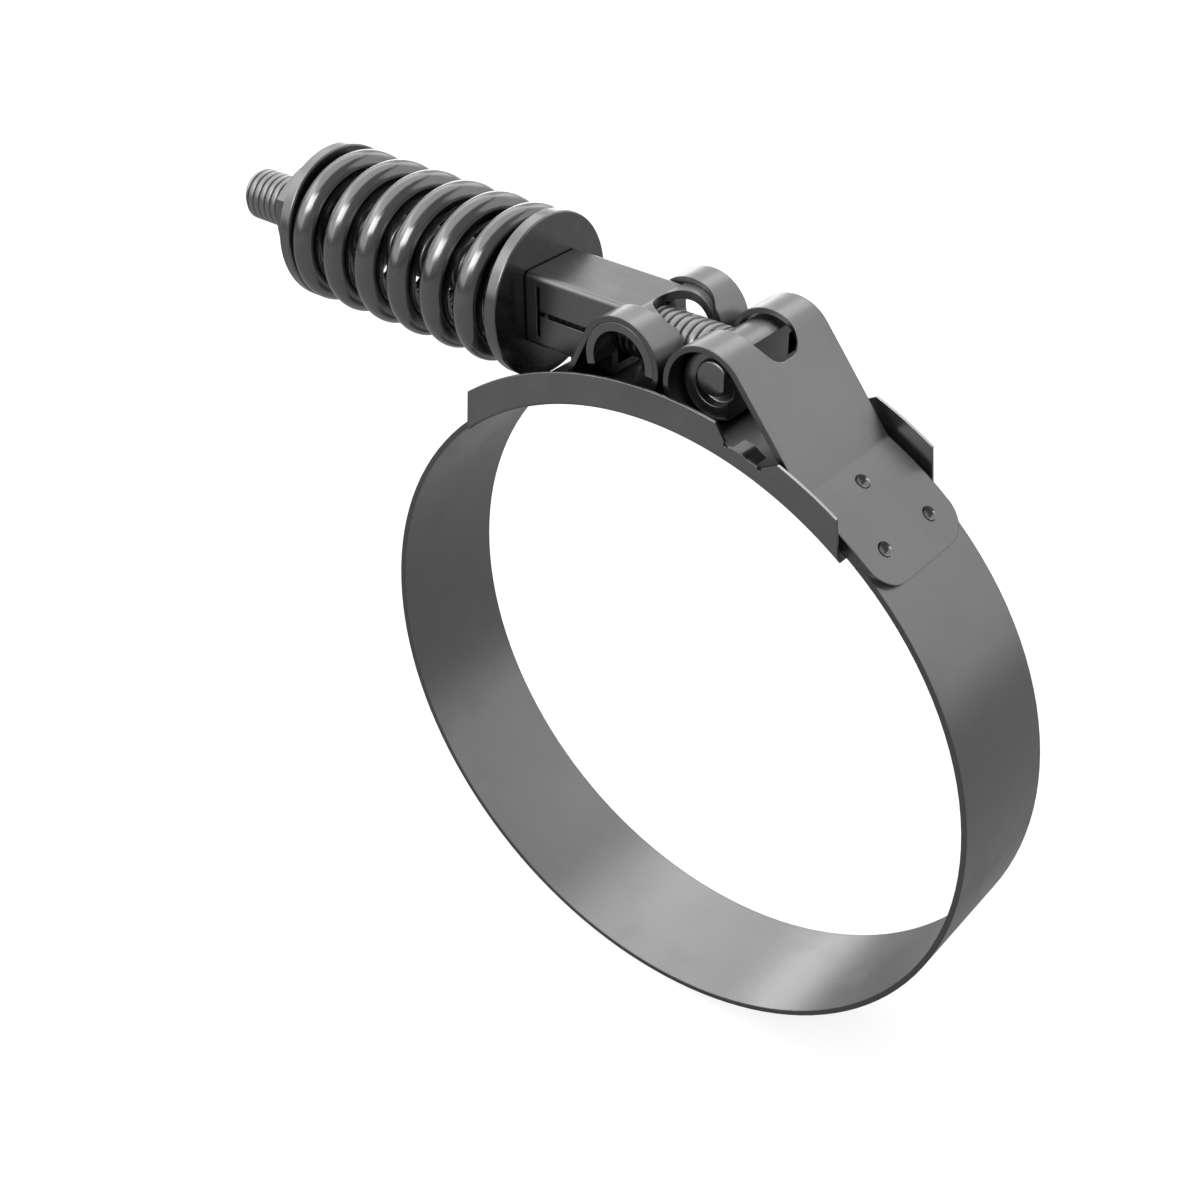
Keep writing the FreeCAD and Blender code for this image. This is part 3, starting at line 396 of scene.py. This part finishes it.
bolt_plating, surface, place, rounded = new_finish("bolt_plating", 0.14)
crest = off_bolt(place).step(THREAD_ROOT, THREAD_CREST)
on_thread = 1 - place.axis(0).step(HEAD_FACE - 0.3, HEAD_FACE)
root = on_thread * (1 - crest)
rolled = place.stretched(2.5, 0.6, 0.6).cloud(3, 0.6)
speckle = place.stretched(4, 4, 4).cloud(2)
wear = edge_wear(place, rounded)
color = (rolled * 0.35 + speckle * 0.15).between(PLATING, PLATING_WORN)
# The thread's roots are darkened: painted shade in the grooves.
color = (root * 0.75).between(color, STEEL_PAINTED_SHADE)
# The thread's crests are painted lighter as a painted highlight; the rounded edges are lighter where
# worn.
color = (on_thread * crest * 0.5 + wear * 0.4).between(color, PLATING_WORN)
lay(surface, "Base Color", color)
lay(surface, "Roughness", 0.27 + rolled * 0.1 + root * 0.15)
lay(surface, "Normal", press_relief(place, rounded, rolled + speckle * 0.5, 0.006))

shank = bmesh.new()
roll_thread(shank)
bmesh.ops.remove_doubles(shank, verts=shank.verts, dist=SAME_POINT)
bmesh.ops.dissolve_degenerate(shank, dist=SAME_POINT, edges=shank.edges)
bmesh.ops.holes_fill(shank, edges=shank.edges, sides=0)
forge_bar(shank)
bmesh.ops.recalc_face_normals(shank, faces=shank.faces)
tee_bolt = to_object(shank, "tee_bolt", bolt_plating)
smooth(tee_bolt, 32)
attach(tee_bolt, "clamp")
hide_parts("t_bolt")


# The washers: thick, stamped from plate and tumbled, then plated. One takes the spring's push
# at the sleeve and the other at the nut.

washer_plating, surface, place, rounded = new_finish("washer_plating", 0.14)
from_axis = off_bolt(place)
turned = place.node("ShaderNodeCombineXYZ", {}, {0: from_axis * 5, 1: place.axis(0) * 2}).cloud(2)
speckle = place.stretched(2.5, 2.5, 2.5).cloud(3)
smudges = place.stretched(0.3, 0.3, 0.3).cloud(4, 0.6).step(0.4, 0.75)
wear = edge_wear(place, rounded)
color = (speckle * 0.3 + smudges * 0.2).between(PLATING, PLATING_WORN)
color = (wear * 0.7).between(color, PLATING_WORN)
lay(surface, "Base Color", color)
lay(surface, "Roughness", 0.19 + speckle * 0.08 + turned * 0.05)
lay(surface, "Normal", press_relief(place, rounded, turned * 0.5 + speckle, 0.005))
dress("inner_washer", washer_plating)
dress("outer_washer", washer_plating)


# The spring: drawn round wire, 4 mm thick, wound left-handed and plated bright. Its ends are
# ground flat on the washers.

SPRING_NEAR = -28.72
SPRING_FAR = -67.12
SPRING_COIL = 9.57
SPRING_WIRE = 2.12
SPRING_PITCH = 6.42
SPRING_TURN = math.radians(184.5)
SPRING_STEPS = 96
WIRE_SIDES = 32
COIL_INSIDE = (7.7, 8.7)


def wind_spring(maker):
    """Wire round the bolt's axis, a turn past each washer, then ground off level with both."""
    rise = SPRING_PITCH / (2 * math.pi)
    slope = math.atan2(rise, SPRING_COIL)
    turns = (SPRING_NEAR - SPRING_FAR) / SPRING_PITCH + 2
    rings = []
    for step in range(int(turns * SPRING_STEPS) + 1):
        turn = 2 * math.pi * step / SPRING_STEPS
        out = Vector((0, -math.sin(turn + SPRING_TURN), math.cos(turn + SPRING_TURN)))
        ahead = Vector((-math.sin(slope), 0, 0)) + Vector((-1, 0, 0)).cross(out) * -math.cos(slope)
        middle = Vector((SPRING_NEAR + SPRING_PITCH - rise * turn, 0, HEAD_MIDDLE.z)) + out * SPRING_COIL
        beside = ahead.cross(out)
        ring = []
        for side in range(WIRE_SIDES):
            around = 2 * math.pi * side / WIRE_SIDES
            offset = out * math.cos(around) + beside * math.sin(around)
            ring.append(maker.verts.new(middle + offset * SPRING_WIRE))
        rings.append(ring)
    for first, second in zip(rings, rings[1:]):
        join_rings(maker, first, second)
    maker.faces.new(list(reversed(rings[0])))
    maker.faces.new(rings[-1])
    for end, outward in ((SPRING_NEAR, 1), (SPRING_FAR, -1)):
        cut_level(maker, (end, 0, 0), (outward, 0, 0))


spring_plating, surface, place, rounded = new_finish("spring_plating", 0.1)
level = place.moved(0, 0, -HEAD_MIDDLE.z)
from_axis = off_bolt(place)
turn = level.axis(1).reckon("ARCTAN2", level.axis(2) * -1)
along_coil = level.axis(0) - turn * (SPRING_PITCH / (2 * math.pi))
on_wire = {0: from_axis * 4, 1: along_coil * 4, 2: turn * 0.6}
drawn = place.node("ShaderNodeCombineXYZ", {}, on_wire).cloud(3)
speckle = place.stretched(1.2, 1.2, 1.2).cloud(3)
smudges = place.stretched(0.18, 0.18, 0.18).cloud(3, 0.6).step(0.4, 0.75)
# The inner side of the coil is darkened: painted shade inside the spring.
inside = 1 - from_axis.step(*COIL_INSIDE)
color = (drawn * 0.3 + smudges * 0.2).between(PLATING, PLATING_WORN)
color = (inside * 0.75).between(color, STEEL_PAINTED_SHADE)
lay(surface, "Base Color", color)
lay(surface, "Roughness", 0.15 + drawn * 0.06 + smudges * 0.06)
lay(surface, "Normal", press_relief(place, rounded, drawn + speckle * 0.4, 0.003))

wire = bmesh.new()
wind_spring(wire)
bmesh.ops.recalc_face_normals(wire, faces=wire.faces)
coil_spring = to_object(wire, "coil_spring", spring_plating)
smooth(coil_spring, 35)
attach(coil_spring, "clamp")
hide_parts("spring")
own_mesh(coil_spring)


# The nut: a plain M8 hexagon nut, cold formed, chamfered on both faces and plated.

nut_plating, surface, place, rounded = new_finish("nut_plating", 0.16)
speckle = place.stretched(2, 2, 2).cloud(3)
pressed = place.stretched(0.5, 1.4, 1.4).cloud(3, 0.6)
wear = edge_wear(place, rounded)
color = (pressed * 0.35 + speckle * 0.15).between(PLATING, PLATING_WORN)
color = (wear * 0.7).between(color, PLATING_WORN)
lay(surface, "Base Color", color)
lay(surface, "Roughness", 0.24 + speckle * 0.1)
lay(surface, "Normal", press_relief(place, rounded, pressed + speckle * 0.5, 0.006))
dress("nut", nut_plating)


# The studio: a plain white floor under soft panels. The large ones stand on the left, above and
# behind, a weaker one behind on the right, a narrow one behind for the tops of the loops, and a
# bright one far in front gives the round wires their shine.

FLOOR_LEVEL = -51.1
FLOOR_REACH = 6000
WHITE = (1, 1, 1, 1)
ROOM = (0.3, 0.3, 0.3, 1)
GLOSS_SHARE = 0.1
LIT_REACH = 500
FLOOR_GREY = (0.25, 0.25, 0.25, 1)
NEAR_GLOW = (0.8, 0.8, 0.8, 1)
# Each panel: turn from the rear towards the right, rise, then distance, width and height in
# metres, and brightness
PANELS = [(-46, 31, 0.85, 2, 0.72, 0.75),
          (-11, 38, 0.76, 0.25, 0.35, 1.4),
          (-54, 3, 0.64, 1, 0.26, 2.6),
          (38, 25, 1.2, 1.15, 1.3, 0.78),
          (-90, 66, 1, 1.7, 1.3, 1.25),
          (-140, 30, 0.9, 1.2, 0.75, 1.1),
          (180, 38, 1.4, 1.05, 0.55, 4.8)]


def seen(tree):
    """1 for rays that look at the background, a share of it in the steel's gloss, 0 for light."""
    rays = tree.nodes.new("ShaderNodeLightPath").outputs
    camera, glossy, through = (Shade(tree, rays[name]) for name in
                               ("Is Camera Ray", "Is Glossy Ray", "Is Transmission Ray"))
    return camera + through + glossy * GLOSS_SHARE


studio = bpy.data.worlds.new("studio")
studio.use_nodes = True
tree = studio.node_tree
lay(tree.nodes["Background"], "Color", seen(tree).between(ROOM, WHITE))
bpy.context.scene.world = studio

floor_paint = bpy.data.materials.new("floor_paint")
floor_paint.use_nodes = True
tree = floor_paint.node_tree
surface = tree.nodes["Principled BSDF"]
surface.inputs["Base Color"].default_value = FLOOR_GREY
surface.inputs["Roughness"].default_value = 0.9
surface.inputs["Specular IOR Level"].default_value = 0
coordinates = tree.nodes.new("ShaderNodeTexCoord")
from_clamp = Shade(tree, coordinates.outputs["Object"]).length()
far_off = from_clamp.step(LIT_REACH * MILLIMETRE, 3 * LIT_REACH * MILLIMETRE)
lay(surface, "Emission Color", far_off.between(NEAR_GLOW, WHITE))
lay(surface, "Emission Strength", seen(tree))
boards = bmesh.new()
boards.faces.new([boards.verts.new((x * FLOOR_REACH, y * FLOOR_REACH, FLOOR_LEVEL))
                  for x, y in ((-1, -1), (1, -1), (1, 1), (-1, 1))])
floor = to_object(boards, "floor", floor_paint)

for index, (turn, rise, distance, width, height, brightness) in enumerate(PANELS):
    around, upward = math.radians(turn), math.radians(rise)
    light = bpy.data.lights.new("panel_%d" % index, "AREA")
    light.shape = "RECTANGLE"
    light.size = width
    light.size_y = height
    light.energy = brightness * math.pi * width * height
    towards = Vector((math.cos(upward) * math.sin(around), math.cos(upward) * math.cos(around),
                      math.sin(upward)))
    lamp = bpy.data.objects.new("panel_%d" % index, light)
    lamp.location = towards * distance
    lamp.rotation_euler = (-towards).to_track_quat("-Z", "Y").to_euler()
    bpy.context.scene.collection.objects.link(lamp)
